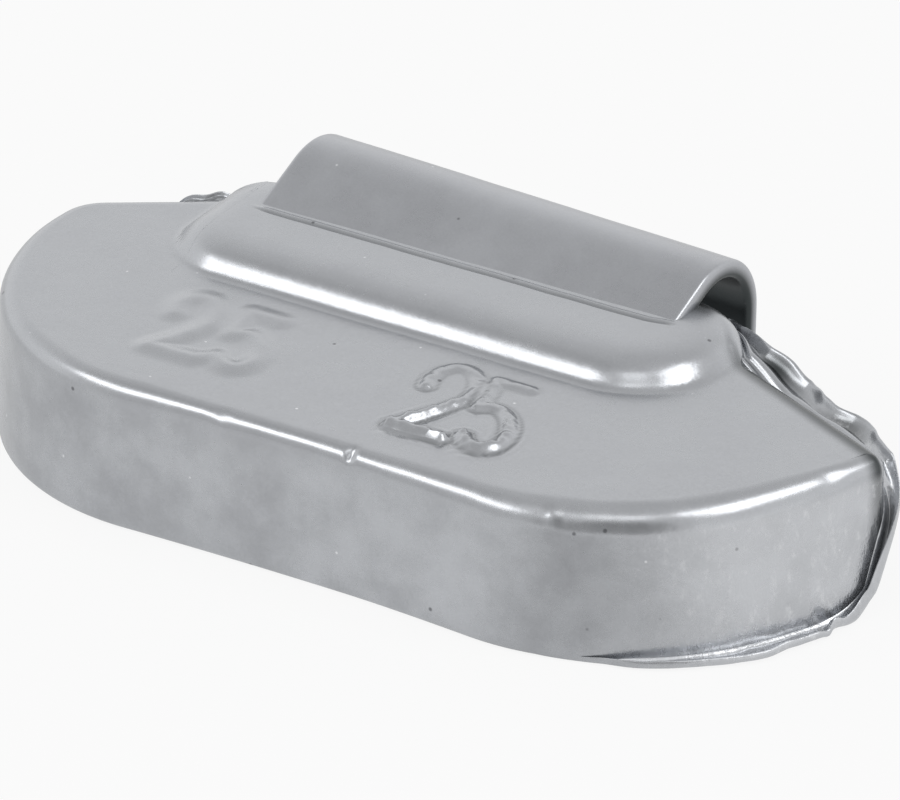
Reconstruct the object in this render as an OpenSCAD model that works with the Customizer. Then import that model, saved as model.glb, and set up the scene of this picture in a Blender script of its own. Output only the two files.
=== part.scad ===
// Clip-on wheel balance weight for steel rims, 25 g, lying on its back.
// A die-cast zinc body with a spring steel clip cast into it.
// Millimetres, +Z up. The origin is the middle of the flat land it rests on,
// X along the weight, -Y the long front wall, +Y the clip.

/* [Body] */
// Distance between the centres of the front corners
front_length = 17.0; // [8:0.1:40]
// Hollow of the front wall, which follows the rim
front_hollow = 0.16; // [0.05:0.01:1]
// Radius of the front corners
corner_radius = 10.6; // [6:0.1:16]
// How far the front corners turn
corner_turn = 61; // [45:1:70]
// Radius of the end walls
end_radius = 35.4; // [20:0.1:80]
// Front wall to the right back corner
back_corner_depth = 11.1; // [8:0.1:16]
// Slope of the right back edge
back_slope = 25; // [10:1:40]
// Radius of the right back corner, sharp under its flash
right_back_radius = 0.8; // [0.5:0.1:5]
// Front wall to the left back corner, where the front corner arc runs on
left_corner_depth = 12.9; // [8:0.1:16]
// Slope of the left back edge
left_slope = 33; // [10:1:40]
// Radius of the left back corner
left_back_radius = 2.4; // [0.5:0.1:5]
// Thickness from the land to the face
body_height = 6.45; // [4:0.05:12]
// Rounding from the land into the back
back_rounding = 4.6; // [2:0.1:5]
// Front wall to the origin
front_reach = 5.6; // [3:0.1:9]

/* [Boss] */
// Length of the raised boss at its foot
boss_length = 25.2; // [18:0.1:40]
// Front wall to the foot of the boss
boss_front = 10.0; // [6:0.1:14]
// Front wall to the back of the boss
boss_back = 17.2; // [14:0.1:24]
// Height of the boss over the face
boss_height = 0.8; // [0.4:0.05:2]
// Slope of its sides
boss_side = 48; // [35:1:70]
// Radius of its corners at the foot
boss_radius = 3.2; // [2:0.1:5]
// The boss sits left of the middle by this much
boss_offset = 0.85; // [0:0.05:3]

/* [Clip] */
// Width of the spring steel strip
clip_width = 19.9; // [10:0.1:30]
// Thickness of the strip
clip_thickness = 0.8; // [0.6:0.05:1.6]
// The clip sits left of the middle by this much
clip_offset = 1.1; // [0:0.05:3]
// Lean of the clip, its left end higher
clip_lean = 0.8; // [0:0.1:4]
// Turn of the clip, its left end further back
clip_turn = 1.6; // [0:0.1:4]
// Slope of the strip where it leaves the boss
clip_rise = 24; // [0:1:45]
// Outer radius of the bend over the rim edge
bend_radius = 3.15; // [2:0.05:6]
// Front wall to the outside of the rear leg
leg_back = 21.3; // [18:0.1:30]
// Top of the bend over the face
bend_top = 2.3; // [1:0.05:5]
// Free end of the rear leg over the land
leg_clearance = 1.8; // [0.5:0.1:4]
// Front wall to the end of the cast-in foot
foot_front = 7.6; // [4:0.1:12]
// Diameter of the keying holes in the foot
key_hole = 2.4; // [1:0.1:4]
// Distance between the keying holes
key_pitch = 6.0; // [4:0.1:9]
// Radius of the corners of the free end
leg_corner = 1.2; // [0.5:0.1:3]

/* [Flash] */
// Thickness of the flash left on the parting line
flash_thickness = 0.35; // [0.2:0.05:0.8]
// Reach of the flash round the foot of the right end
flash_lip = 0.85; // [0.2:0.05:1.2]
// Middle of the body to the rim of the flash behind the right end
flash_rim = 20.9; // [20:0.1:23]
// Slope of that rim
flash_slope = 34; // [25:1:45]
// Length of that rim
flash_length = 12; // [6:0.1:16]
// Depth of the trough inside it
flash_trough = 0.5; // [0.1:0.05:0.8]

/* [Show] */
// Node to show

/* [Hidden] */
$fn = 96;
zinc_colour = [0.72, 0.73, 0.75];
steel_colour = [0.62, 0.63, 0.66];

// the hollow front wall is an arc that meets both corner circles smoothly
half_front = front_length / 2;
hollow_radius = (pow(half_front, 2) + pow(front_hollow, 2)) / (2 * front_hollow) - corner_radius;

// centres of the right front corner and of the flatter end wall that leaves it
c1 = [half_front, corner_radius];
n1 = [sin(corner_turn), -cos(corner_turn)];
c2 = c1 - (end_radius - corner_radius) * n1;

// right back corner, and the sloping back edge behind it
corner_x = c2[0] + sqrt(pow(end_radius, 2) - pow(back_corner_depth - c2[1], 2));
bn = [sin(back_slope), cos(back_slope)];
back_distance = bn * [corner_x, back_corner_depth];

// the same on the left, seen in a mirror
left_x = c1[0] + sqrt(pow(corner_radius, 2) - pow(left_corner_depth - c1[1], 2));
left_n = [sin(left_slope), cos(left_slope)];
left_distance = left_n * [left_x, left_corner_depth];

// centre of a circle of radius r inside both an end arc (c, radius) and a back edge (n, distance)
function inside(r, c, radius, n, distance) =
    let (f = n * (distance - r), q = f - c, t = [n[1], -n[0]], b = q * t, k = q * q - pow(radius - r, 2))
    f + t * (-b + sqrt(b * b - k));

// bend centre, and the tangent point of the shank on the outer face
bend = [leg_back - bend_radius, bend_top - bend_radius];
shank_n = [-sin(clip_rise), cos(clip_rise)];
shank_t = [cos(clip_rise), sin(clip_rise)];
tangent = bend + bend_radius * shank_n;
foot_run = (tangent[0] - foot_front) / cos(clip_rise);

// from the plan, measured from the front wall and the face, to the origin
module placed() translate([0, -front_reach, body_height]) children();

// half outline from the middle of the front, with a back corner of radius r between an end arc and a back edge
module half_plan(r, c, radius, n, distance) {
    p = inside(r, c, radius, n, distance);
    w = (p - c) / norm(p - c);
    difference() {
        intersection() {
            union() {
                translate([-0.01, 0]) square([half_front + 0.01, 20]);
                translate(c1) circle(corner_radius);
                intersection() {
                    translate(c) circle(radius);
                    polygon([c1, c1 + n1 * 21, [corner_x + 20, 0], [corner_x + 20, 30], [c1[0], 30]]);
                }
            }
            polygon([[-1, -1], [corner_x + 20, -1], n * distance + [n[1], -n[0]] * 60, [-1, (distance + n[0]) / n[1]]]);
        }
        polygon([p, p + w * (r + 3), p + (w + n) * (r + 3), p + n * (r + 3)]);
    }
    translate(p) circle(r);
}

module plan() {
    difference() {
        union() {
            half_plan(right_back_radius, c2, end_radius, bn, back_distance);
            mirror([1, 0]) half_plan(left_back_radius, c1, corner_radius, left_n, left_distance);
        }
        translate([0, front_hollow - hollow_radius]) circle(hollow_radius, $fn = 720);
        translate([-9, boss_back]) square([18, 10]);
    }
}

// everything in front of a back face that rounds into the land
module back_limit(depth, run) {
    rotate([90, 0, 90]) linear_extrude(height = run, center = true) difference() {
        translate([-40, -body_height]) square([40 + depth + 0.05, body_height + 5]);
        difference() {
            translate([depth + 0.05 - back_rounding, -body_height - 1]) square([back_rounding + 1, back_rounding + 1]);
            translate([depth + 0.05 - back_rounding, back_rounding - body_height]) circle(back_rounding);
        }
    }
}

// thin lip in the parting face round the foot of the right end, growing out of the front corner
module end_flash() {
    reach = corner_radius + flash_lip;
    start = corner_radius - 0.05;
    shift = (pow(reach, 2) - pow(start, 2)) / (2 * (start + reach * n1[1]));
    difference() {
        translate([0, 0, -body_height - 1]) linear_extrude(height = body_height + 1) intersection() {
            union() {
                translate(c1 + [0, shift]) circle(start + shift);
                intersection() {
                    translate(c2) circle(end_radius + flash_lip);
                    polygon([c1, c1 + n1 * 21, [corner_x + 20, 0], [corner_x + 20, 30], [c1[0], 30]]);
                }
            }
            translate([c1[0], -1]) square([20, 20]);
        }
        translate([0, 0, flash_thickness]) rotate([0, 0, -back_slope]) back_limit(back_distance - flash_thickness, 120);
    }
}

// thin ledge with a trough behind the right back edge, from the boss to the corner
module edge_flash() {
    t = flash_thickness;
    intersection() {
        rotate([0, 0, -flash_slope]) translate([0.2, flash_rim, 0]) rotate([90, 0, 90]) linear_extrude(height = flash_length)
            polygon([[-3.2, -1.6], [-0.5, -1.3], [0, -t - 0.3], [0, -t], [-0.25, -t], [-0.55, -t - flash_trough],
                     [-1.05, -t], [-1.6, -t - 0.3], [-3.2, -t - 0.3]]);
        translate([c2[0], c2[1], -3]) cylinder(h = 4, r = end_radius - 0.05);
    }
}

module main_body() {
    intersection() {
        union() {
            translate([0, 0, -body_height - 1]) linear_extrude(height = body_height + 1) plan();
            end_flash();
        }
        back_limit(boss_back, 90);
        rotate([0, 0, -back_slope]) back_limit(back_distance, 120);
        rotate([0, 0, left_slope]) back_limit(left_distance, 120);
    }
    edge_flash();
}

module boss_plan() {
    x = boss_length / 2 - boss_radius;
    for (sx = [-1, 1], y = [boss_front, boss_back - 2 * boss_radius]) translate([sx * x, y + boss_radius]) circle(boss_radius);
    translate([-x - boss_radius, boss_front + boss_radius]) square([2 * (x + boss_radius), boss_back - boss_front - 2 * boss_radius]);
    translate([-x, boss_front]) square([2 * x, boss_back - boss_front]);
}

module boss() {
    run = boss_height / tan(boss_side);
    x = boss_length / 2 - boss_radius;
    y0 = boss_front + boss_radius;
    y1 = boss_back - boss_radius;
    translate([-boss_offset, 0, 0]) {
        translate([0, 0, back_rounding - body_height]) linear_extrude(height = body_height - back_rounding) boss_plan();
        for (sx = [-1, 1], y = [y0, y1]) translate([sx * x, y, -0.5]) rotate_extrude()
            polygon([[0, 0], [boss_radius, 0], [boss_radius, 0.5], [boss_radius - run, boss_height + 0.5], [0, boss_height + 0.5]]);
        translate([-x, 0, 0]) rotate([90, 0, 90]) linear_extrude(height = 2 * x)
            polygon([[boss_front, -0.5], [boss_back, -0.5], [boss_back, 0], [boss_back - run, boss_height],
                     [boss_front + run, boss_height], [boss_front, 0]]);
        translate([0, y1, 0]) rotate([90, 0, 0]) linear_extrude(height = y1 - y0)
            polygon([[-x - boss_radius, -0.5], [x + boss_radius, -0.5], [x + boss_radius, 0],
                     [x + boss_radius - run, boss_height], [-x - boss_radius + run, boss_height], [-x - boss_radius, 0]]);
    }
}

// the strip between two radii round the bend centre, its shank running down into the body
module strip_shape(r, extra) {
    translate(bend) {
        intersection() {
            circle(r);
            polygon([[0, 0], 9 * [-sin(clip_rise + 4), cos(clip_rise + 4)], [0, 14], [14, 14], [9, -0.6]]);
        }
        polygon([[0, 0], r * shank_n, r * shank_n - (foot_run + extra) * shank_t, -(foot_run + extra) * shank_t]);
        translate([0, leg_clearance - body_height - bend[1] - extra]) square([r, body_height + bend[1] - leg_clearance + extra]);
    }
}

module clip_solid() {
    translate([-clip_offset, bend[0], bend_top]) rotate([0, clip_lean, -clip_turn]) translate([0, -bend[0], -bend_top]) difference() {
        rotate([90, 0, 90]) linear_extrude(height = clip_width, center = true) difference() {
            strip_shape(bend_radius, 0);
            strip_shape(bend_radius - clip_thickness, 1);
        }
        for (k = [-1, 0, 1]) translate([k * key_pitch, tangent[0], tangent[1]]) rotate([clip_rise, 0, 0])
            translate([0, 2.2 - foot_run, 0]) cylinder(h = 6, d = key_hole, center = true);
        for (s = [0, 1]) mirror([s, 0]) translate([clip_width / 2 - leg_corner, leg_back + 1, leg_clearance - body_height + leg_corner])
            rotate([90, 0, 0]) linear_extrude(height = 4) difference() {
                translate([0, -leg_corner - 1]) square(leg_corner + 1);
                circle(leg_corner);
            }
    }
}

module zinc_body() {
    color(zinc_colour) placed() difference() {
        union() {
            main_body();
            boss();
        }
        clip_solid();
    }
}

module steel_clip() {
    color(steel_colour) placed() clip_solid();
}

zinc_body();
steel_clip();
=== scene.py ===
import math
import bmesh
import bpy
import numpy as np
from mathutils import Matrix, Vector


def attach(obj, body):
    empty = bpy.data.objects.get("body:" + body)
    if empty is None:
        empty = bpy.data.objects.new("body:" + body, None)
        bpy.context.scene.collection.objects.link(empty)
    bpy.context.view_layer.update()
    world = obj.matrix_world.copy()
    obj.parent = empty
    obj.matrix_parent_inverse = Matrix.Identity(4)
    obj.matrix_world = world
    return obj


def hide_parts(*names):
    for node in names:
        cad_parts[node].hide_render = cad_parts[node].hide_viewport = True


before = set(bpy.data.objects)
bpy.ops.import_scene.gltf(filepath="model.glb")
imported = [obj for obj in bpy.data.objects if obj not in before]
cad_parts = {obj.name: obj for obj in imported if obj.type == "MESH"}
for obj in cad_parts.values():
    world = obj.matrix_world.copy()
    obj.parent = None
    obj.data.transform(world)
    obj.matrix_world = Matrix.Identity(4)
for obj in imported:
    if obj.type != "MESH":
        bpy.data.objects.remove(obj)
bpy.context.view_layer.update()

# ---- Zinc body
# One pressure die casting in zinc alloy, dipped in a silver coating after casting.
# The upper die made the face, the boss and the walls; the lower die made the flat land
# and the rounded back, so the parting line runs round the foot of the walls.

# millimetres in the plan of the casting: Y from the front wall, Z from the face
body_height, front_reach = 6.45, 5.6
edge_rounding, back_rounding = 0.7, 4.6
right_back_rounding = back_rounding - 0.9
half_front, front_hollow = 8.5, 0.16
corner_radius, corner_turn = 10.6, math.radians(61)
end_radius = 35.4
back_corner_depth, back_slope, right_back_radius = 11.1, math.radians(25), 0.6
left_corner_depth, left_slope, left_back_radius = 12.9, math.radians(33), 2.3
boss_left, boss_right, boss_front, boss_back = -13.8, 11.75, 9.62, 17.2
boss_back_corner = 3.4

hollow_radius = (half_front**2 + front_hollow**2) / (2 * front_hollow) - corner_radius
corner_centre = np.array([half_front, corner_radius])
end_centre = corner_centre - (end_radius - corner_radius) * np.array([math.sin(corner_turn), -math.cos(corner_turn)])


def back_edge(centre, radius, depth, slope):
    """A sloping back edge that meets the end arc at this depth: its outward normal, and its distance
    from the plan origin, which is normal . corner."""
    normal = np.array([math.sin(slope), math.cos(slope)])
    corner = [centre[0] + math.sqrt(radius**2 - (depth - centre[1]) ** 2), depth]
    return normal, normal @ corner


right_normal, right_distance = back_edge(end_centre, end_radius, back_corner_depth, back_slope)
left_normal, left_distance = back_edge(corner_centre, corner_radius, left_corner_depth, left_slope)


def smoothstep(x, low, high):
    """0 below low, 1 above high, and t*t*(3 - 2t) between them."""
    t = np.clip((x - low) / (high - low), 0, 1)
    return t * t * (3 - 2 * t)


def bell(x, middle, width):
    """A bell curve: 1 at its middle, falling as exp of minus the square of the distance over the width."""
    return np.exp(-(((x - middle) / width) ** 2))


def smooth_max(a, b, k):
    """The larger of two arrays, with their crossing rounded over a width k."""
    h = np.clip(0.5 + 0.5 * (a - b) / k, 0, 1)
    return b + (a - b) * h + k * h * (1 - h)


def waves(x, y, seed, cell, octaves=3):
    """Soft noise from about -1 to 1: a sum of sine products on turned axes, each octave twice as fine
    and half as strong."""
    rng = np.random.default_rng(seed)
    total, weight = 0 * x, 0
    for octave in range(octaves):
        for _ in range(4):
            turn, phase = rng.uniform(0, 2 * np.pi, 2)
            f = 2 * np.pi / cell * 2**octave * rng.uniform(0.75, 1.25)
            along = x * np.cos(turn) + y * np.sin(turn)
            across = y * np.cos(turn) - x * np.sin(turn)
            bent = 1.3 * np.sin(0.6 * f * across + 2 * phase)
            total = total + np.sin(f * along + phase + bent) / 2**octave
            weight += 1 / 2**octave
    return total * 1.6 / weight


def round_rect(x, y, x0, x1, y0, y1, r):
    """Signed distance to a rounded rectangle, positive inside: the corner radius less the distance from
    its inner rectangle."""
    qx = np.abs(x - (x0 + x1) / 2) - (x1 - x0) / 2 + r
    qy = np.abs(y - (y0 + y1) / 2) - (y1 - y0) / 2 + r
    return r - np.hypot(np.maximum(qx, 0), np.maximum(qy, 0)) - np.minimum(np.maximum(qx, qy), 0)


def run_lengths(p):
    """Distance along a line of points, from 0 at its first."""
    return np.concatenate([[0], np.cumsum(np.hypot(*np.diff(p, axis=0).T))])


def outline(side):
    """The plan of one end, as two lines of points from the middle to the tip: round the front, and along
    the back. Arcs are centre + radius * (sin a, -cos a): the hollow front, the front corner, the end wall,
    the back corner."""
    if side > 0:
        centre, radius, normal, distance = end_centre, end_radius, right_normal, right_distance
        slope, r = back_slope, right_back_radius
    else:
        centre, radius, normal, distance = corner_centre, corner_radius, left_normal, left_distance
        slope, r = left_slope, left_back_radius
    # p is the centre of the back corner, which touches the end arc and the back edge from inside
    t = np.array([normal[1], -normal[0]])
    q = normal * (distance - r) - centre
    p = normal * (distance - r) + t * (-(q @ t) + math.sqrt((q @ t) ** 2 - q @ q + (radius - r) ** 2))
    w = (p - centre) / np.linalg.norm(p - centre)
    meet = math.atan2(w[0], -w[1])
    bend = math.asin(half_front / (hollow_radius + corner_radius))
    b = np.linspace(0, bend, 120)
    parts = [np.stack([hollow_radius * np.sin(b), front_hollow - hollow_radius * (1 - np.cos(b))], -1)]
    for middle, arc_radius, first, last in (
        (corner_centre, corner_radius, -bend, corner_turn),
        (centre, radius, corner_turn, meet),
        (p, r, meet, np.pi - slope),
    ):
        a = np.linspace(first, last, 400)[1:]
        parts.append(middle + arc_radius * np.stack([np.sin(a), -np.cos(a)], -1))
    x = np.linspace(parts[-1][-1, 0], 0, 900)[1:]
    parts.append(np.stack([x, (distance - normal[0] * x) / normal[1]], -1))
    ring = np.concatenate(parts)
    tip = int(np.argmax(ring[:, 0]))
    return ring[: tip + 1], ring[tip:][::-1]


def normals(p):
    """Outward normals of a line of points that runs with the body on its left."""
    d = np.gradient(p, axis=0)
    return np.stack([d[:, 1], -d[:, 0]], -1) / np.hypot(*d.T)[:, None]


def half_columns(side, steps):
    """Front and back points with their normals, at the same X, for one end; side is 1 on the right and
    -1 on the left, and steps share out the length of the front line."""
    front, back = outline(side)
    arcs = run_lengths(front)
    s = steps / steps.max() * arcs[-1]
    nf = normals(front)
    nf[-1] = [1, 0]
    nf[0] = [0, -1]
    f = np.stack([np.interp(s, arcs, front[:, k]) for k in (0, 1)], -1)
    n = np.stack([np.interp(s, arcs, nf[:, k]) for k in (0, 1)], -1)
    # the boss widens the back: a rounded corner standing out past the sloping edge
    right, r = (boss_right if side > 0 else -boss_left), boss_back_corner
    bx = back[:, 0]
    arch = boss_back - r + np.sqrt(np.clip(r**2 - np.clip(bx - (right - r), 0, r) ** 2, 0, None))
    arch = np.where(bx > right, -5, arch)
    wide = np.minimum(smooth_max(arch, np.minimum(back[:, 1], boss_back), 0.5), boss_back)
    line = np.stack([bx, np.where(bx < right - r, boss_back, wide)], -1)
    m = -normals(line)
    m[-1] = [1, 0]
    m[0] = [0, 1]
    g = np.stack([f[:, 0], np.interp(f[:, 0], line[:, 0], line[:, 1])], -1)
    m = np.stack([np.interp(f[:, 0], line[:, 0], m[:, k]) for k in (0, 1)], -1)
    g[-1], m[-1] = f[-1], [1, 0]
    keep = np.array([side, 1])
    unit = lambda v: v / np.hypot(*v.T)[:, None]
    return f * keep, unit(n) * keep, g * keep, unit(m) * keep


def spaced(*runs):
    """Values along one line, from (end, step) pairs, each run of even steps from the end of the last."""
    out, at = [0.0], 0.0
    for end, step in runs:
        n = max(1, round((end - at) / step))
        out += list(at + (end - at) * np.arange(1, n + 1) / n)
        at = end
    return np.array(out)


# the number of grams, raised on the face twice; the second pair of numerals was struck deeper in the die
def numeral(kind):
    """Strokes of a numeral in a unit box, as one line of points."""
    if kind == 2:
        a = np.linspace(np.radians(200), np.radians(-28), 16)
        top = np.stack([0.5 + 0.46 * np.cos(a), 0.72 + 0.28 * np.sin(a)], -1)
        return np.concatenate([top, [[0.62, 0.38], [0.28, 0.16], [0.0, 0.0], [0.5, 0.0], [1.0, 0.0]]])
    a = np.linspace(np.radians(118), np.radians(-142), 18)
    bowl = np.stack([0.46 + 0.5 * np.cos(a), 0.31 + 0.31 * np.sin(a)], -1)
    return np.concatenate([[[0.95, 1.0], [0.22, 1.0], [0.1, 0.56]], bowl])


def stroke_distance(x, y, line):
    """Distance in the plan from each point to a line of points: the least over its straight pieces."""
    best = np.full(x.shape, 1e9)
    for a, b in zip(line[:-1], line[1:]):
        d = b - a
        t = np.clip(((x - a[0]) * d[0] + (y - a[1]) * d[1]) / (d @ d), 0, 1)
        best = np.minimum(best, np.hypot(x - a[0] - t * d[0], y - a[1] - t * d[1]))
    return best


numerals = (
    # kind, left foot, width, foot, height, lean, half stroke, edge, raised at foot, raised at top
    (2, -9.2, 2.1, 3.45, 4.6, 1.3, 0.42, 0.95, 0.16, 0.10),
    (5, -6.35, 1.9, 3.55, 4.4, 1.3, 0.42, 0.95, 0.16, 0.10),
    (2, 2.6, 2.3, 2.95, 5.5, 1.05, 0.25, 0.26, 0.30, 0.10),
    (5, 5.6, 2.05, 2.95, 5.3, 1.75, 0.25, 0.26, 0.28, 0.10),
)
deep_numerals = numerals[2:]


def around(x, y, kind, left, width, foot, height, lean):
    """Which points lie near a numeral that leans to the left with its height, and how far they are from
    its strokes."""
    line = numeral(kind) * [width, height] + [left, foot]
    line[:, 0] -= (line[:, 1] - foot) / height * lean
    margin = 1.5
    near = (y > foot - margin) & (y < foot + height + margin)
    near = near & (x > left - lean - margin) & (x < left + width + margin)
    return near, stroke_distance(x[near], y[near], line)


# where the zinc meets the strip, and the groove that lies in front of that line
strip_line = 14.44
groove_place, groove_width = -0.31, 0.06


def strip_root(x, y):
    """Distance behind the slightly uneven line where the zinc meets the strip, and how far this point lies
    within the strip's width, 0 to 1."""
    behind = y - strip_line - 0.03 * waves(x, 0 * x, 30, 5.0, 2) - 0.25 * smoothstep(x, 7.4, 8.9)
    return behind, smoothstep(x, -11.3, -10.4) * (1 - smoothstep(x, 8.3, 8.9))


# the flank of the boss: degrees of slope at distances inside its foot line, steep low down with a long
# soft shoulder, and the height that they add up to
flank_run = np.linspace(0, 3.2, 129)
flank_slope = np.interp(
    flank_run, [0, 0.22, 0.36, 0.5, 0.72, 1.0, 1.4, 1.8, 2.4, 3.0], [0, 30, 47, 50, 42, 28, 14, 7, 2, 0])
flank_tangent = np.tan(np.radians((flank_slope[1:] + flank_slope[:-1]) / 2))
flank_rise = np.concatenate([[0], np.cumsum(flank_tangent) * flank_run[1]])


def face_height(x, y):
    """Height of the upper side over the flat of the face: the boss rises inside its foot line by the sum of
    its slopes, the number stands proud along its strokes, and the cast face sinks and rolls by a few hundredths."""
    foot_corner = 3.5 + 0.9 * smoothstep(x, -2, 6)
    inside = round_rect(x, y, boss_left, boss_right, boss_front, boss_back + 1.6, foot_corner)
    z = np.interp(inside, flank_run, flank_rise)
    # the zinc has crept up to the strip in a thin raised lip with a groove before it
    lip, within = strip_root(x, y)
    z = z + within * (0.05 * bell(lip, -0.13, 0.09) - 0.035 * bell(lip, groove_place, groove_width))
    for kind, left, width, foot, height, lean, half, edge, low, high in numerals:
        deep = edge < 0.5
        uneven, cell = (0.25, 0.9) if deep else (0.12, 2.2)
        near, d = around(x, y, kind, left, width, foot, height, lean)
        up = low + (high - low) * smoothstep(y[near], foot, foot + height)
        up = up * (1 + uneven * waves(x[near], y[near], 70, cell, 2))
        stroke = 1 - smoothstep(d, half - edge / 2, half + edge / 2)
        z[near] += up * stroke * (1 - smoothstep(inside[near], -0.9, -0.1))
        if deep:
            # this pair was struck more than once: fine ridges run beside the lower strokes
            ridges = 0.035 * np.sin(d * 2 * np.pi / 0.30) * smoothstep(d, 0.2, 0.35)
            lower = 1 - smoothstep(y[near], foot + 1.2, foot + 3.2)
            z[near] += ridges * (1 - smoothstep(d, 0.5, 0.95)) * lower
    return z + 0.009 * waves(x, y, 3, 8.0, 2) + 0.0015 * waves(x, y, 8, 1.6, 2)


def right_inset(x, y):
    """Distance inside the sloping back edge on the right."""
    return right_distance - right_normal[0] * x - right_normal[1] * y


def back_height(x, y):
    """Height of the lower side: the flat land, rounded up to the parting line by r - sqrt(r*r - k*k) near
    the back and the two sloping edges."""
    z = np.full(x.shape, -body_height)
    left_inset = left_distance + left_normal[0] * x - left_normal[1] * y
    edges = ((boss_back - y, back_rounding), (right_inset(x, y), right_back_rounding), (left_inset, back_rounding))
    for inset, r in edges:
        k = np.clip(r - inset, 0, r)
        z = np.maximum(z, -body_height + r - np.sqrt(r**2 - k**2))
    return z


def skin(name, grids, hollow, smooth_angle, cap=False):
    """One mesh from grids of points in millimetres, each grid's rows closed into loops, doubles merged and
    faces turned outwards. The third argument, from 0 to 1 at each point, is painted shade that the material
    mixes into the colour towards near-black; cap closes the two ends."""
    place = np.array([0, -front_reach, body_height])
    points, faces, start = [], [], 0
    for grid in grids:
        rows, cols = grid.shape[:2]
        i = np.arange(rows * cols).reshape(rows, cols) + start
        j = np.concatenate([i, i[:1]])
        faces += np.stack([j[:-1, :-1], j[:-1, 1:], j[1:, 1:], j[1:, :-1]], -1).reshape(-1, 4).tolist()
        if cap:
            faces += [i[:, 0].tolist(), i[::-1, -1].tolist()]
        points.append((grid.reshape(-1, 3) + place) / 1000)
        start += rows * cols
    mesh = bpy.data.meshes.new(name)
    mesh.from_pydata(np.concatenate(points).tolist(), [], faces)
    dark = mesh.attributes.new("hollow", "FLOAT", "POINT")
    dark.data.foreach_set("value", np.concatenate([h.ravel() for h in hollow]).astype(np.float32))
    bm = bmesh.new()
    bm.from_mesh(mesh)
    bmesh.ops.remove_doubles(bm, verts=bm.verts, dist=2e-7)
    bmesh.ops.dissolve_degenerate(bm, edges=bm.edges, dist=1e-8)
    bmesh.ops.recalc_face_normals(bm, faces=bm.faces)
    bm.to_mesh(mesh)
    bm.free()
    mesh.shade_smooth()
    mesh.set_sharp_from_angle(angle=math.radians(smooth_angle))
    obj = bpy.data.objects.new(name, mesh)
    bpy.context.scene.collection.objects.link(obj)
    return obj


def drafted(p):
    """The walls lean out downwards by two to four degrees: X and the front part of Y grow in proportion to
    the depth, and the right front corner moves out from its centre as well."""
    x, y, z = p[..., 0], p[..., 1], p[..., 2]
    down = np.clip(-z / body_height, 0, 1)
    more = 0.024 * down * smoothstep(x, 2, 12) * (1 - smoothstep(y, 7, 12))
    # the right end bulges a little past its arc
    bulge = 0.25 * smoothstep(x, 8, 20)
    wider = x * (1 + 0.0103 * down) + more * np.maximum(x - half_front, 0) + bulge
    # the walls lean from this depth forwards
    fixed = 11
    deeper = np.where(y < fixed, fixed + (y - fixed) * (1 + 0.0190 * down + more), y)
    return np.stack([wider, deeper, z], -1)


# nicks in the front edge: where, how deep, how wide; less than nothing is a burr
edge_nicks = ((2.36, 0.15, 0.17), (-3.6, 0.035, 0.3), (11.5, -0.06, 0.14), (19.3, 0.06, 0.2))


def body_surface():
    """Columns run across the weight from front to back at each X; rows run once round it: face, back edge,
    back wall, land, foot of the front wall, front wall and front edge. The tips close to a line."""
    right = half_columns(1, spaced((8.4, 0.12), (21, 0.22), (26.4, 0.13)))
    left = half_columns(-1, spaced((10.6, 0.12), (20, 0.22), (25.4, 0.13)))
    f, n, g, m = [np.concatenate([b[::-1], a[1:]]) for a, b in zip(right, left)]
    across = np.hypot(*(f - g).T)
    # the front edge is rounder than the back one, a little uneven, and has nicks
    e, x = edge_rounding, f[:, 0]
    rounder = np.interp(x, [-12, -4, 3, 7, 11, 16, 20], [0.1, 0, 0, 0.12, 0.36, 0.42, 0.3])
    rounder = rounder + 0.05 * waves(x, 0 * x, 60, 5.0, 2)
    ef = (e + rounder * smoothstep(across, 1, 6))[:, None]
    nick = sum(deep * bell(x, at, wide) for at, deep, wide in edge_nicks)[:, None]
    fi, gi = f - ef * n, g - e * m
    tips = [0, -1]
    fi[tips] = gi[tips] = (fi[tips] + gi[tips]) / 2
    v = spaced((2.2, 0.2), (8.4, 0.095), (10.6, 0.1), (12.9, 0.25), (13.9, 0.04), (15.6, 0.18)) / 15.6
    face = fi[None] + v[:, None, None] * (gi - fi)[None]
    z = face_height(face[..., 0], face[..., 1])
    rows = [np.dstack([face, z[..., None]])]
    # back edge, falling from the height of the face or the boss
    a = np.radians(np.linspace(0, 90, 9)[1:])[:, None, None]
    zb = z[-1][None, :, None]
    rows.append(np.concatenate([gi[None] + e * np.sin(a) * m[None], zb - e * (1 - np.cos(a))], -1))
    # back wall
    t = np.linspace(0, 1, 13)[1:, None, None]
    top = (z[-1] - e)[None, :, None]
    low = np.full(len(g), -body_height + back_rounding)[None, :, None]
    rows.append(np.concatenate([np.repeat(g[None], len(t), 0), top + t * (low - top)], -1))
    # land, from the back line to the foot of the front wall
    front_foot = back_height(f[:, 0], f[:, 1])
    tall = np.clip((-e - front_foot) / 2.5, 0, 1)
    lip = 0.28 * tall * smoothstep(across, 0.3, 4)
    fl = f - lip[:, None] * n
    w = (1 - np.cos(np.linspace(0, np.pi / 2, 25)))[1:, None, None]
    land = g[None] + w * (fl - g)[None]
    rows.append(np.dstack([land, back_height(land[..., 0], land[..., 1])[..., None]]))
    # foot of the front wall
    a = np.radians(np.linspace(0, 90, 6)[1:])[:, None, None]
    base = front_foot[None, :, None]
    l3 = lip[None, :, None]
    rows.append(np.concatenate([fl[None] + l3 * np.sin(a) * n[None], base + l3 * (1 - np.cos(a))], -1))
    # front wall and front edge
    low = (front_foot + lip)[None, :, None]
    zf = z[0][None, :, None]
    rows.append(np.concatenate([np.repeat(f[None], len(t), 0), low + t * (zf - ef - low)], -1))
    a = np.radians(np.linspace(90, 0, 13)[1:-1])[:, None, None]
    cut = ef - nick * np.sin(2 * a) ** 2
    rows.append(np.concatenate([fi[None] + cut * np.sin(a) * n[None], zf - ef + cut * np.cos(a)], -1))
    return drafted(np.concatenate(rows)), right, left


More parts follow.
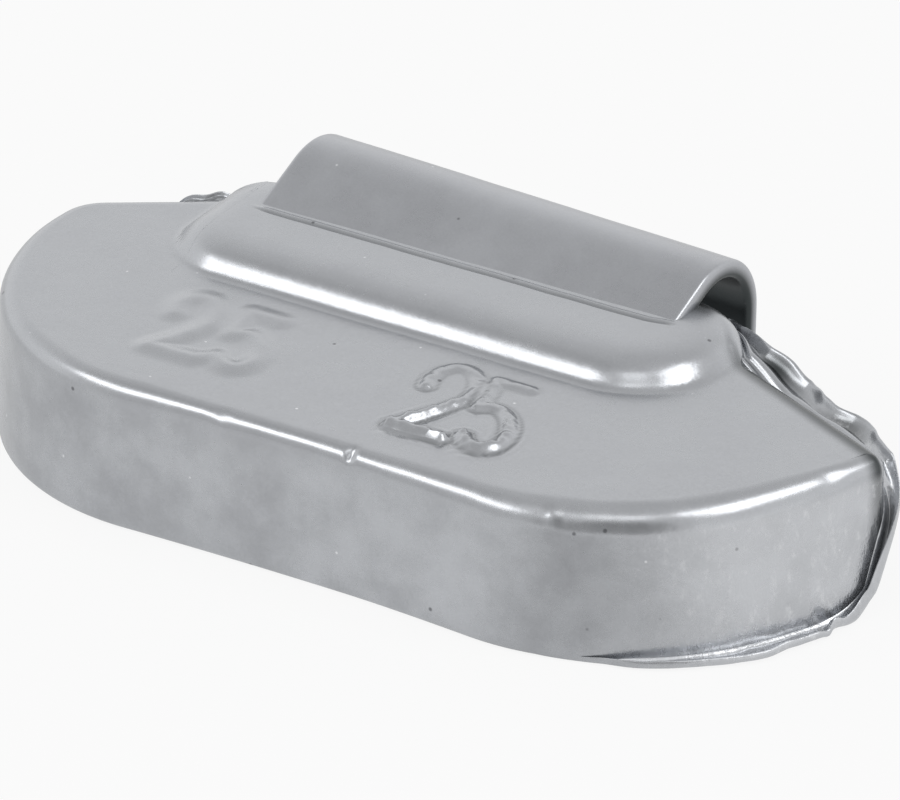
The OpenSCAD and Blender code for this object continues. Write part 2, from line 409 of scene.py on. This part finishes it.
def rounded(loop, times=2):
    """A closed loop of points with its corners cut, each time at a quarter and three quarters of every side."""
    for _ in range(times):
        after = np.roll(loop, -1, 0)
        loop = np.stack([0.75 * loop + 0.25 * after, 0.25 * loop + 0.75 * after], 1).reshape(-1, *loop.shape[1:])
    return loop


# sections of the flash: distance out as a fixed part and a share of the reach, height, and how much painted shade it
# takes in the trough
fin_section = np.array([
    (-0.3, 0, -0.1, 0), (-0.3, 0, 0.3, 0), (0, 0, 0.16, 0.1), (0.03, 0.1, 0.06, 0.6), (0, 0.25, 0.03, 1),
    (0, 0.42, 0.03, 0.9), (0, 0.58, 0.1, 0.2), (0, 0.74, 0.22, 0), (0, 0.86, 0.3, 0), (0, 0.96, 0.28, 0),
    (0, 1, 0.14, 0), (0, 0.97, 0, 0), (0, 0.7, -0.08, 0), (0, 0.3, -0.1, 0)])
ledge_section = np.array([
    (-0.3, 0, -0.8, 0), (-0.3, 0, 0.15, 0), (0, 0, -0.05, 0.3), (0, 0.07, -0.03, 0.2), (0, 0.15, 0.12, 0),
    (0, 0.25, 0.17, 0), (0, 0.36, 0.02, 0.5), (0, 0.56, -0.34, 1), (0, 0.77, -0.14, 0.8), (0, 0.92, 0.17, 0),
    (0, 1, 0.12, 0), (0, 0.96, -0.1, 0), (0, 0.7, -0.5, 0), (0, 0.35, -0.7, 0)])
# how far a gap sinks each point of the section
gap_depth = np.array([0.35, 0, 0, 0.1, 0.35, 0.35, 0.2, 0, 0, 0, 0.1, 0.25, 0.45, 0.45])[:, None]
flash_root, flash_step = 0.3, 0.09


def flash(path, outward, reach, ledge, gap, dark, lump, seed):
    """Flash carried along a path on the parting line: point = path + out * outward + high * up, where up is
    square to both. ledge blends its section from the fin to the ledge, gap sinks its trough, dark says how
    dark the painted shade in that trough is and lump raises its outer half. Returns the points and their painted
    shade."""
    along = run_lengths(path)
    s = np.arange(0, along[-1], flash_step)
    single = lambda v: np.interp(s, along, v)
    several = lambda v: np.stack([single(v[:, k]) for k in range(v.shape[1])], -1)
    path, outward = several(path), several(outward)
    reach, ledge, gap, dark, lump = (single(v) for v in (reach, ledge, gap, dark, lump))
    forward = np.gradient(path, axis=0)
    forward /= np.linalg.norm(forward, axis=1)[:, None]
    up = np.cross(outward, forward)
    up *= np.sign(up[:, 2:3] + 1e-9)
    up /= np.linalg.norm(up, axis=1)[:, None]
    section = fin_section[:, None] + ledge[None, :, None] * (ledge_section - fin_section)[:, None]
    fixed, share, rise = section[..., 0], section[..., 1], section[..., 2]
    reach = reach * (1 + 0.07 * waves(s, 0 * s, seed, 3.6, 1) + 0.012 * waves(s, 0 * s, seed + 1, 1.3, 1))
    out = fixed + share * reach
    k = np.arange(len(out))[:, None] * 0.45
    upper = rise > -0.05
    high = rise * (1 - 0.35 * gap) + lump * (share > 0.35) * upper - gap * gap_depth
    ripple = 0.022 * waves(s[None] + 0 * k, k, seed + 2, 2.4, 2) + 0.03 * waves(s, 0 * s, seed + 3, 3.4, 1)
    high = high + ripple * (share > 0.2) * upper
    ends = np.sqrt(np.clip(np.minimum(s, s[-1] - s) / 0.6, 0, 1)) * smoothstep(reach, -0.1, 0.5)
    out, high = (out + flash_root) * ends - flash_root, high * ends - 0.1 * (1 - ends)
    p = path[None] + out[..., None] * outward[None] + high[..., None] * up[None]
    p[..., 2] = np.maximum(p[..., 2], -body_height)
    # painted shade in the trough, as the section and dark give it
    depth = section[..., 3:] * (ends * dark)[None, :, None]
    return rounded(p), rounded(depth)[..., 0]


def evened(values, reach):
    """A running mean over reach values to each side, with the ends repeated."""
    return np.convolve(np.pad(values, reach, "edge"), np.ones(2 * reach + 1) / (2 * reach + 1), "valid")


body_points, right_end, left_end = body_surface()

# right: from the front corner round the foot of the end wall, up the back corner, and behind the edge to the boss
ledge_height = -0.72
f, n, g, m = right_end
start = int(np.argmax(f[:, 0] > 7.6))
stop = int(np.argmax(g[:, 0] > 8.6))
plan = np.concatenate([f[start:], g[stop:-1][::-1]])
out = np.concatenate([n[start:], m[stop:-1][::-1]])
foot = np.concatenate([back_height(f[start:, 0], f[start:, 1]) + 0.12, np.full(len(g) - stop - 1, ledge_height)])
foot = np.minimum(foot, ledge_height)
s = run_lengths(plan)
tip = s[len(f) - start - 1]
steps = np.arange(0, s[-1], 0.05)
foot = np.interp(s, steps, evened(np.interp(steps, s, foot), 20)) + 0.75 * smoothstep(s, tip + 7.2, tip + 10)
out = np.stack([evened(out[:, k], 8) for k in (0, 1)], -1)
out /= np.hypot(*out.T)[:, None]
# u runs from the tip: less than 0 round the end wall, more behind the edge
u = s - tip
reach = np.interp(
    u, [-17, -12, -9, -6, -3.5, -1.2, 0, 1.5, 3, 4.4, 6.3, 7.6, 9, 12],
    [0.02, 0.3, 0.72, 0.98, 0.72, 0.42, 0.52, 1.0, 1.5, 1.7, 1.4, 1.75, 1.5, 0.5])
gap = smoothstep(u, -3.0, -1.8) * (1 - smoothstep(u, 0, 1.0))
# painted shade in the trough of the flash, deepest in the gap and in three cavities
dark = 0.06 + 0.62 * gap + 0.9 * bell(u, 4.3, 1.5) + 0.9 * bell(u, 9.0, 1.1) + 0.6 * bell(u, -3.4, 0.22)
lump = 0.28 * bell(u, -2.9, 0.32) - 0.12 * bell(u, -3.4, 0.2) + 0.05 * bell(u, -5.2, 0.4) + 0.08 * bell(u, 6.4, 0.6)
right_flash = flash(
    np.column_stack([plan, foot]), np.column_stack([out, 0 * s]),
    reach, smoothstep(u, -0.2, 1.4), gap, np.clip(dark, 0, 0.95), lump, 40)

# left: a short rag of flash behind the end of the boss
g, m = left_end[2:]
pick = (g[:, 0] < -12.6) & (g[:, 0] > -15.9)
plan, out = g[pick], m[pick]
s = run_lengths(plan)
# its trough is painted in shade at a steady 0.8
left_flash = flash(
    np.column_stack([plan, np.full(len(plan), -0.35)]), np.column_stack([out, 0 * s]),
    np.interp(s, [0, 0.5 * s[-1], s[-1]], [0.75, 0.6, 0.15]), np.full(len(s), 0.35), 0 * s, np.full(len(s), 0.8),
    0.22 * np.sin(s * 5.2) * np.exp(-s / 1.6), 50)

# painted shade, to match the photo's view: the groove before the strip, and the wall that the clip covers
x, y, z = body_points[..., 0], body_points[..., 1], body_points[..., 2]
lip, within = strip_root(x, y)
painted_body_darkness = 0.42 * within * bell(lip, groove_place, groove_width) * (z > 0.5)
behind_clip = 1 - smoothstep(np.abs(x + 1.1), 7.5, 10.5)
painted_body_darkness = np.maximum(painted_body_darkness, 0.9 * smoothstep(y, 16.9, 17.15) * behind_clip * smoothstep(z, -6, -3))
# painted shade just outside the strokes of the deep pair of numerals, where they meet the face, strongest at their
# foot
for kind, left, width, foot, height, lean, half, edge, low, high in deep_numerals:
    near, d = around(x, y, kind, left, width, foot, height, lean)
    near_edge = bell(d, half + 0.20, 0.07) * (1 - smoothstep(y[near], foot + 1.0, foot + height + 2))
    painted_body_darkness[near] = np.maximum(painted_body_darkness[near], 0.5 * near_edge * (z[near] > -0.5))
# and the rounding of the sloping back edge on the right is painted dark too; what darkens it in the photo isn't
# known
inset = right_inset(x, y)
dark_back_rounding = smoothstep(inset, 0.1, 0.3) * (1 - smoothstep(inset, 0.35, 1.1)) * smoothstep(x, 10.5, 12.5)
painted_body_darkness = np.maximum(painted_body_darkness, 0.88 * dark_back_rounding)

zinc_body = skin(
    "zinc_body_cast", [body_points, drafted(right_flash[0]), drafted(left_flash[0])],
    [painted_body_darkness, right_flash[1], left_flash[1]], 62)
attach(zinc_body, "root")
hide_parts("zinc_body")


class Value:
    """A shader socket that takes part in sums: each operator adds a Math node."""

    def __init__(self, tree, socket):
        self.tree, self.socket = tree, socket

    def math(self, operation, other, turned=False):
        a, b = (other, self) if turned else (self, other)
        return self.tree.add("ShaderNodeMath", {"operation": operation}, {0: a, 1: b})

    def __add__(self, o): return self.math("ADD", o)
    def __radd__(self, o): return self.math("ADD", o)
    def __sub__(self, o): return self.math("SUBTRACT", o)
    def __rsub__(self, o): return self.math("SUBTRACT", o, turned=True)
    def __mul__(self, o): return self.math("MULTIPLY", o)
    def __rmul__(self, o): return self.math("MULTIPLY", o)
    def __truediv__(self, o): return self.math("DIVIDE", o)

    def between(self, low, high):
        """0 below low, 1 above high, and a smooth step between them."""
        settings = {"interpolation_type": "SMOOTHSTEP", "clamp": True}
        return self.tree.add("ShaderNodeMapRange", settings, {"Value": self, "From Min": low, "From Max": high})


class Nodes:
    """A node tree; add() makes any node from its type, settings and socket values."""

    def __init__(self, tree):
        self.nodes, self.links = tree.nodes, tree.links

    def add(self, kind, settings=None, values=None, out=0):
        node = self.nodes.new(kind)
        for key, value in (settings or {}).items():
            setattr(node, key, value)
        for key, value in (values or {}).items():
            self.put(node.inputs[key], value)
        return Value(self, node.outputs[out])

    def put(self, socket, value):
        if isinstance(value, Value):
            self.links.new(value.socket, socket)
        else:
            socket.default_value = value

    def rays(self):
        """Whether the ray comes from the camera, from a glossy surface or through a clear one."""
        names = ("Is Camera Ray", "Is Glossy Ray", "Is Transmission Ray")
        return [self.add("ShaderNodeLightPath", out=name) for name in names]


class Finish(Nodes):
    """A material, its Principled shader and patterns on Object coordinates."""

    def __init__(self, name):
        self.material = bpy.data.materials.new(name)
        self.material.use_nodes = True
        super().__init__(self.material.node_tree)
        self.shader = self.nodes["Principled BSDF"]
        self.place = self.add("ShaderNodeTexCoord", out="Object")

    def noise(self, size_mm, detail=3.0, rough=0.5, stretch=(1, 1, 1)):
        where = self.add("ShaderNodeMapping", {"vector_type": "POINT"}, {"Vector": self.place, "Scale": stretch})
        values = {"Vector": where, "Scale": 1000.0 / size_mm, "Detail": detail, "Roughness": rough}
        return self.add("ShaderNodeTexNoise", {}, values)

    def dots(self, scale):
        """1 in small round dots scattered at this scale, and 0 elsewhere."""
        cells = self.add("ShaderNodeTexVoronoi", {"feature": "F1"}, {"Vector": self.place, "Scale": scale})
        return 1 - cells.between(0.02, 0.05)

    def mix(self, factor, a, b):
        return self.add("ShaderNodeMix", {"data_type": "RGBA"}, {0: factor, 6: a, 7: b}, out=2)

    def axes(self):
        """X, Y and Z in millimetres."""
        split = self.nodes.new("ShaderNodeSeparateXYZ")
        self.put(split.inputs[0], self.place)
        return [Value(self, o) * 1000.0 for o in split.outputs]

    def relief(self, height, strength):
        """Bump the surface by a height, in shares of five hundredths of a millimetre."""
        values = {"Height": height, "Strength": strength, "Distance": 0.00005}
        self.put(self.shader.inputs["Normal"], self.add("ShaderNodeBump", {}, values))


speck_colour, spark_colour = [0.10, 0.10, 0.11, 1], [0.85, 0.86, 0.88, 1]
# near-black for painted shade, and the pale colour of the patches on the right end wall
painted_dark_colour, pale_patch_colour = [0.020, 0.026, 0.026, 1], [0.74, 0.75, 0.77, 1]


def silver_coating(name, tone, roughness, metal, uneven):
    """Silver coating over metal: cloudy tone, rare dark and light specks, shade painted where the mesh asks
    for it, and an orange-peel bump. uneven, from 0 to 1, says where the clouds show more. Returns the finish and its
    relief."""
    f = Finish(name)
    cloud, mottle = f.noise(5.5, 3.0, 0.5), f.noise(1.5, 4.0, 0.6)
    fine, grain = f.noise(0.35, 3.0, 0.6), f.noise(0.10, 2.0, 0.6)
    uneven = uneven(f)
    clouds = (cloud * 0.6 + mottle * 0.4).between(0.32, 0.68)
    dark, light = [c * 0.80 for c in tone] + [1], [min(1, c * 1.16) for c in tone] + [1]
    colour = f.mix(0.5 + (clouds - 0.5) * (0.14 + uneven * 0.62) + (grain - 0.5) * 0.40, dark, light)
    colour = f.mix(f.dots(430.0) * 0.7, colour, speck_colour)
    colour = f.mix(f.dots(610.0) * 0.7, colour, spark_colour)
    # painted shade: the mesh's attribute mixes the colour towards near-black
    hollow = f.add("ShaderNodeAttribute", {"attribute_name": "hollow"}, out="Fac")
    f.put(f.shader.inputs["Base Color"], f.mix(hollow, colour, painted_dark_colour))
    f.put(f.shader.inputs["Metallic"], metal)
    f.put(f.shader.inputs["Roughness"], roughness + (fine - 0.5) * 0.10 + (clouds - 0.5) * 0.06)
    return f, fine * 0.12 + mottle * 0.4 + grain * 0.03 + cloud * 0.3 + uneven * mottle * 0.4


# the walls came out cloudier than the face
coating, height = silver_coating(
    "silver_coated_zinc", (0.478, 0.491, 0.513), 0.26, 0.92, lambda f: 1 - f.axes()[2].between(5.2, 6.2))
x, _, z = coating.axes()
# the right end wall and the foot of the flash came out rough from the die, and are painted paler in patches
rough_end = x.between(12.5, 18.5) * (1 - z.between(5.4, 5.9))
pits = coating.noise(0.5, 3.0, 0.7, (1, 1.3, 0.8))
pale_patches = coating.noise(0.45, 4.0, 0.75, (1, 1, 0.6)).between(0.50, 0.75)
base = coating.shader.inputs["Base Color"]
colour = Value(coating, base.links[0].from_socket)
coating.put(base, coating.mix(rough_end * (0.28 + pale_patches * 0.42), colour, pale_patch_colour))
coating.relief(height + pits * rough_end * 1.1, 0.5)
zinc_body.data.materials.append(coating.material)

# ---- Steel clip
# One strip of spring steel bent over the rim lip, its foot cast into the boss and
# coated with the body. It leans a little, its left end higher, and its free end is short.

clip_width, clip_thickness, clip_offset = 19.9, 0.8, -1.1
bend_radius, leg_back, bend_top, clip_rise = 3.15, 21.3, 2.3, math.radians(24)
clip_lean, clip_turn = math.radians(0.8), math.radians(1.6)
# the foot is shown only as far as it can be seen
leg_end, foot_front = 1.8 - body_height, 11.5
edge_radius, end_rounding, leg_corner = 0.22, 0.3, 1.2


def quarter_round(left, size):
    """0 at the end of a run and 1 from size onwards, along a quarter circle; left is the way to go."""
    return np.sqrt(np.clip(1 - (1 - np.clip(left / size, 0, 1)) ** 2, 0, 1))


def strip_surface():
    """A bar section with rounded corners carried along the strip's middle line, which is a line, an arc and
    a line: straight up out of the boss, round the bend, down the leg. Returns the points and their darkness."""
    r = bend_radius - clip_thickness / 2
    cy, cz = leg_back - bend_radius, bend_top - bend_radius
    ty, tz = cy - r * math.sin(clip_rise), cz + r * math.cos(clip_rise)
    run = (ty - foot_front) / math.cos(clip_rise)
    s = np.linspace(-run, 0, 34)
    a = np.linspace(math.pi / 2 + clip_rise, 0, 44)
    leg = np.linspace(cz, leg_end, 18)[1:]
    path = np.concatenate([
        np.stack([ty + s * math.cos(clip_rise), tz + s * math.sin(clip_rise)], -1),
        np.stack([cy + r * np.cos(a), cz + r * np.sin(a)], -1)[1:],
        np.stack([np.full(leg.shape, cy + r), leg], -1)])
    d = np.gradient(path, axis=0)
    d /= np.hypot(*d.T)[:, None]
    # the section, once round: the outer side, two corners, the inner side, two corners
    h, w, c = clip_thickness / 2, clip_width / 2, edge_radius
    q = np.radians(np.linspace(0, 90, 6))
    corner = np.stack([np.sin(q), np.cos(q)], -1) * c
    top = np.linspace(-w + c, w - c, 61)[1:-1]
    ring = np.concatenate([
        np.stack([top, np.full(top.shape, h)], -1),
        corner + [w - c, h - c],
        (corner[::-1] * [1, -1]) + [w - c, c - h],
        np.stack([top[::-1], np.full(top.shape, -h)], -1),
        (corner * [-1, -1]) + [c - w, c - h],
        (corner[::-1] * [-1, 1]) + [c - w, h - c],
    ])
    # the free end is rounded over its last edge, and so are its two corners
    along = run_lengths(path)
    left = along[-1] - along
    thick = 0.35 + 0.65 * quarter_round(left, end_rounding)
    narrow = 1 - (1 - quarter_round(left, leg_corner)) * leg_corner / w
    x = ring[:, 0][:, None] * narrow[None]
    off = ring[:, 1][:, None] * thick[None]
    y = path[:, 0][None] - off * d[:, 1][None]
    z = path[:, 1][None] + off * d[:, 0][None]
    # shallow rolls in the strip, as it was bent
    z = z + 0.015 * waves(x, y, 21, 9.0)
    # lean and turn about the middle of the bend
    y, z = y - cy, z - bend_top
    x, z = x * math.cos(clip_lean) + z * math.sin(clip_lean), z * math.cos(clip_lean) - x * math.sin(clip_lean)
    x, y = x * math.cos(clip_turn) + y * math.sin(clip_turn), y * math.cos(clip_turn) - x * math.sin(clip_turn)
    # painted shade on the inner side, from the bend on
    inner = np.clip(-ring[:, 1] / (h - c), 0, 1)[:, None]
    shade = inner * smoothstep(along, along[-1] * 0.16, along[-1] * 0.24)[None]
    return np.stack([x + clip_offset, y + cy, z + bend_top], -1), 0.93 * smoothstep(shade, 0.5, 1.0)


# painted shade on the inner side of the strip
strip, strip_painted_shade = strip_surface()
steel_clip = skin("steel_clip_strip", [strip], [strip_painted_shade], 50, cap=True)
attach(steel_clip, "root")
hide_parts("steel_clip")
steel_coating, height = silver_coating("silver_coated_steel", (0.455, 0.466, 0.49), 0.30, 0.92, lambda f: 0.25)
steel_coating.relief(height, 0.35)
steel_clip.data.materials.append(steel_coating.material)

# ---- Studio
# A pale floor and a white surround with a greyer ceiling, and three soft boxes that draw the
# bright lines along the rounded edges. The operator stands darker behind the camera.

floor_half, floor_height = 4, -0.00002
floor_corners = [(floor_half * i, floor_half * j, floor_height) for i, j in ((-1, -1), (1, -1), (1, 1), (-1, 1))]
floor_mesh = bpy.data.meshes.new("studio_floor")
floor_mesh.from_pydata(floor_corners, [], [(0, 1, 2, 3)])
floor = bpy.data.objects.new("studio_floor", floor_mesh)
bpy.context.scene.collection.objects.link(floor)
pale = Finish("pale_floor")
pale.put(pale.shader.inputs["Base Color"], (0.8, 0.8, 0.8, 1))
pale.put(pale.shader.inputs["Roughness"], 0.9)
pale.put(pale.shader.inputs["Specular IOR Level"], 0.0)
camera_ray, glossy_ray, clear_ray = pale.rays()
x, y, _ = pale.axes()
# as metal sees it, the floor is greyer in front of the right corner and past the left end, and whitest on the right
offside = (x - 16.0) / 11.0
front = (1 - (offside * offside).between(0, 1)) * (1 - y.between(-12, 2)) * 0.30
front = front + (1 - x.between(-26, -6)) * 0.10 - x.between(19, 26) * 0.14
white = pale.nodes.new("ShaderNodeEmission")
pale.put(white.inputs["Color"], pale.mix(glossy_ray * (front + 0.06), [1, 1, 1, 1], [0, 0, 0, 1]))
mixer = pale.nodes.new("ShaderNodeMixShader")
pale.put(mixer.inputs[0], camera_ray * 0.88 + clear_ray * 0.88 + glossy_ray * 0.72)
pale.links.new(pale.shader.outputs[0], mixer.inputs[1])
pale.links.new(white.outputs[0], mixer.inputs[2])
pale.links.new(mixer.outputs[0], pale.nodes["Material Output"].inputs["Surface"])
floor_mesh.materials.append(pale.material)

world = bpy.data.worlds.new("white_surround")
bpy.context.scene.world = world
world.use_nodes = True
sky = Nodes(world.node_tree)
direction = sky.add("ShaderNodeTexCoord", out="Generated")


def towards(v, low, high):
    """1 where the surround lies close to a direction, falling to 0 as the cosine drops from high to low."""
    aim = {0: direction, 1: Vector(v).normalized()}
    return sky.add("ShaderNodeVectorMath", {"operation": "DOT_PRODUCT"}, aim, out="Value").between(low, high)


camera_ray, glossy_ray, clear_ray = sky.rays()
ceiling = towards((0, 0, 1), 0.35, 0.88)
cloth = towards((-0.46, -0.20, 0.86), 0.90, 0.985)
low_front = towards((-0.45, -0.85, 0.25), 0.85, 0.98)
operator = towards((0.40, -0.84, 0.36), 0.84, 0.97)
shown = 1.0 - ceiling * 0.29 - cloth * 0.11 - low_front * 0.30 - operator * 0.62
lit = (1 - camera_ray) * (1 - clear_ray) * (1 - glossy_ray) * 0.55
sky.put(sky.nodes["Background"].inputs["Strength"], camera_ray + clear_ray + glossy_ray * shown + lit)
sky.put(sky.nodes["Background"].inputs["Color"], (1, 1, 1, 1))

lamp_distance = 0.6


def soft_box(name, direction, size, power):
    """A rectangular lamp along a direction from the weight, turned to face it."""
    lamp = bpy.data.lights.new(name, "AREA")
    lamp.shape = "RECTANGLE"
    lamp.size, lamp.size_y = size
    lamp.energy = power
    obj = bpy.data.objects.new(name, lamp)
    bpy.context.scene.collection.objects.link(obj)
    d = Vector(direction).normalized()
    obj.location = d * lamp_distance
    obj.rotation_mode = "QUATERNION"
    obj.rotation_quaternion = d.to_track_quat("Z", "Y")


soft_box("front_left_box", (-0.48, -0.56, 0.675), (0.44, 0.16), 0.58)
soft_box("middle_box", (0.20, -0.42, 0.89), (0.24, 0.16), 0.13)
soft_box("right_box", (0.56, 0.10, 0.82), (0.30, 0.24), 0.62)

# camera at the photograph's angle; lengths in its pixels, from the middle of the front edge
pixels_per_mm = 25.4
px = 0.001 / pixels_per_mm
camera_away, aim_across, aim_up, edge_behind = 9000, 153, 35, 4
view_turn, view_tip = math.radians(33.0), math.radians(28.5)
level = math.cos(view_tip)
toward = Vector((math.sin(view_turn) * level, -math.cos(view_turn) * level, math.sin(view_tip)))
across = Vector((math.cos(view_turn), math.sin(view_turn), 0))
upward = toward.cross(across)
edge_middle = Vector((0, (edge_behind / pixels_per_mm - front_reach) / 1000, body_height / 1000))
camera_data = bpy.data.cameras.new("camera")
camera_data.sensor_width, camera_data.lens = 36, 360
camera_data.clip_start, camera_data.clip_end = 0.01, 20
camera = bpy.data.objects.new("camera", camera_data)
bpy.context.scene.collection.objects.link(camera)
camera.location = edge_middle + toward * camera_away * px
aim = edge_middle + across * aim_across * px + upward * aim_up * px - camera.location
camera.rotation_mode = "QUATERNION"
camera.rotation_quaternion = aim.to_track_quat("-Z", "Y")
bpy.context.scene.camera = camera
bpy.context.scene.view_settings.view_transform = "Standard"
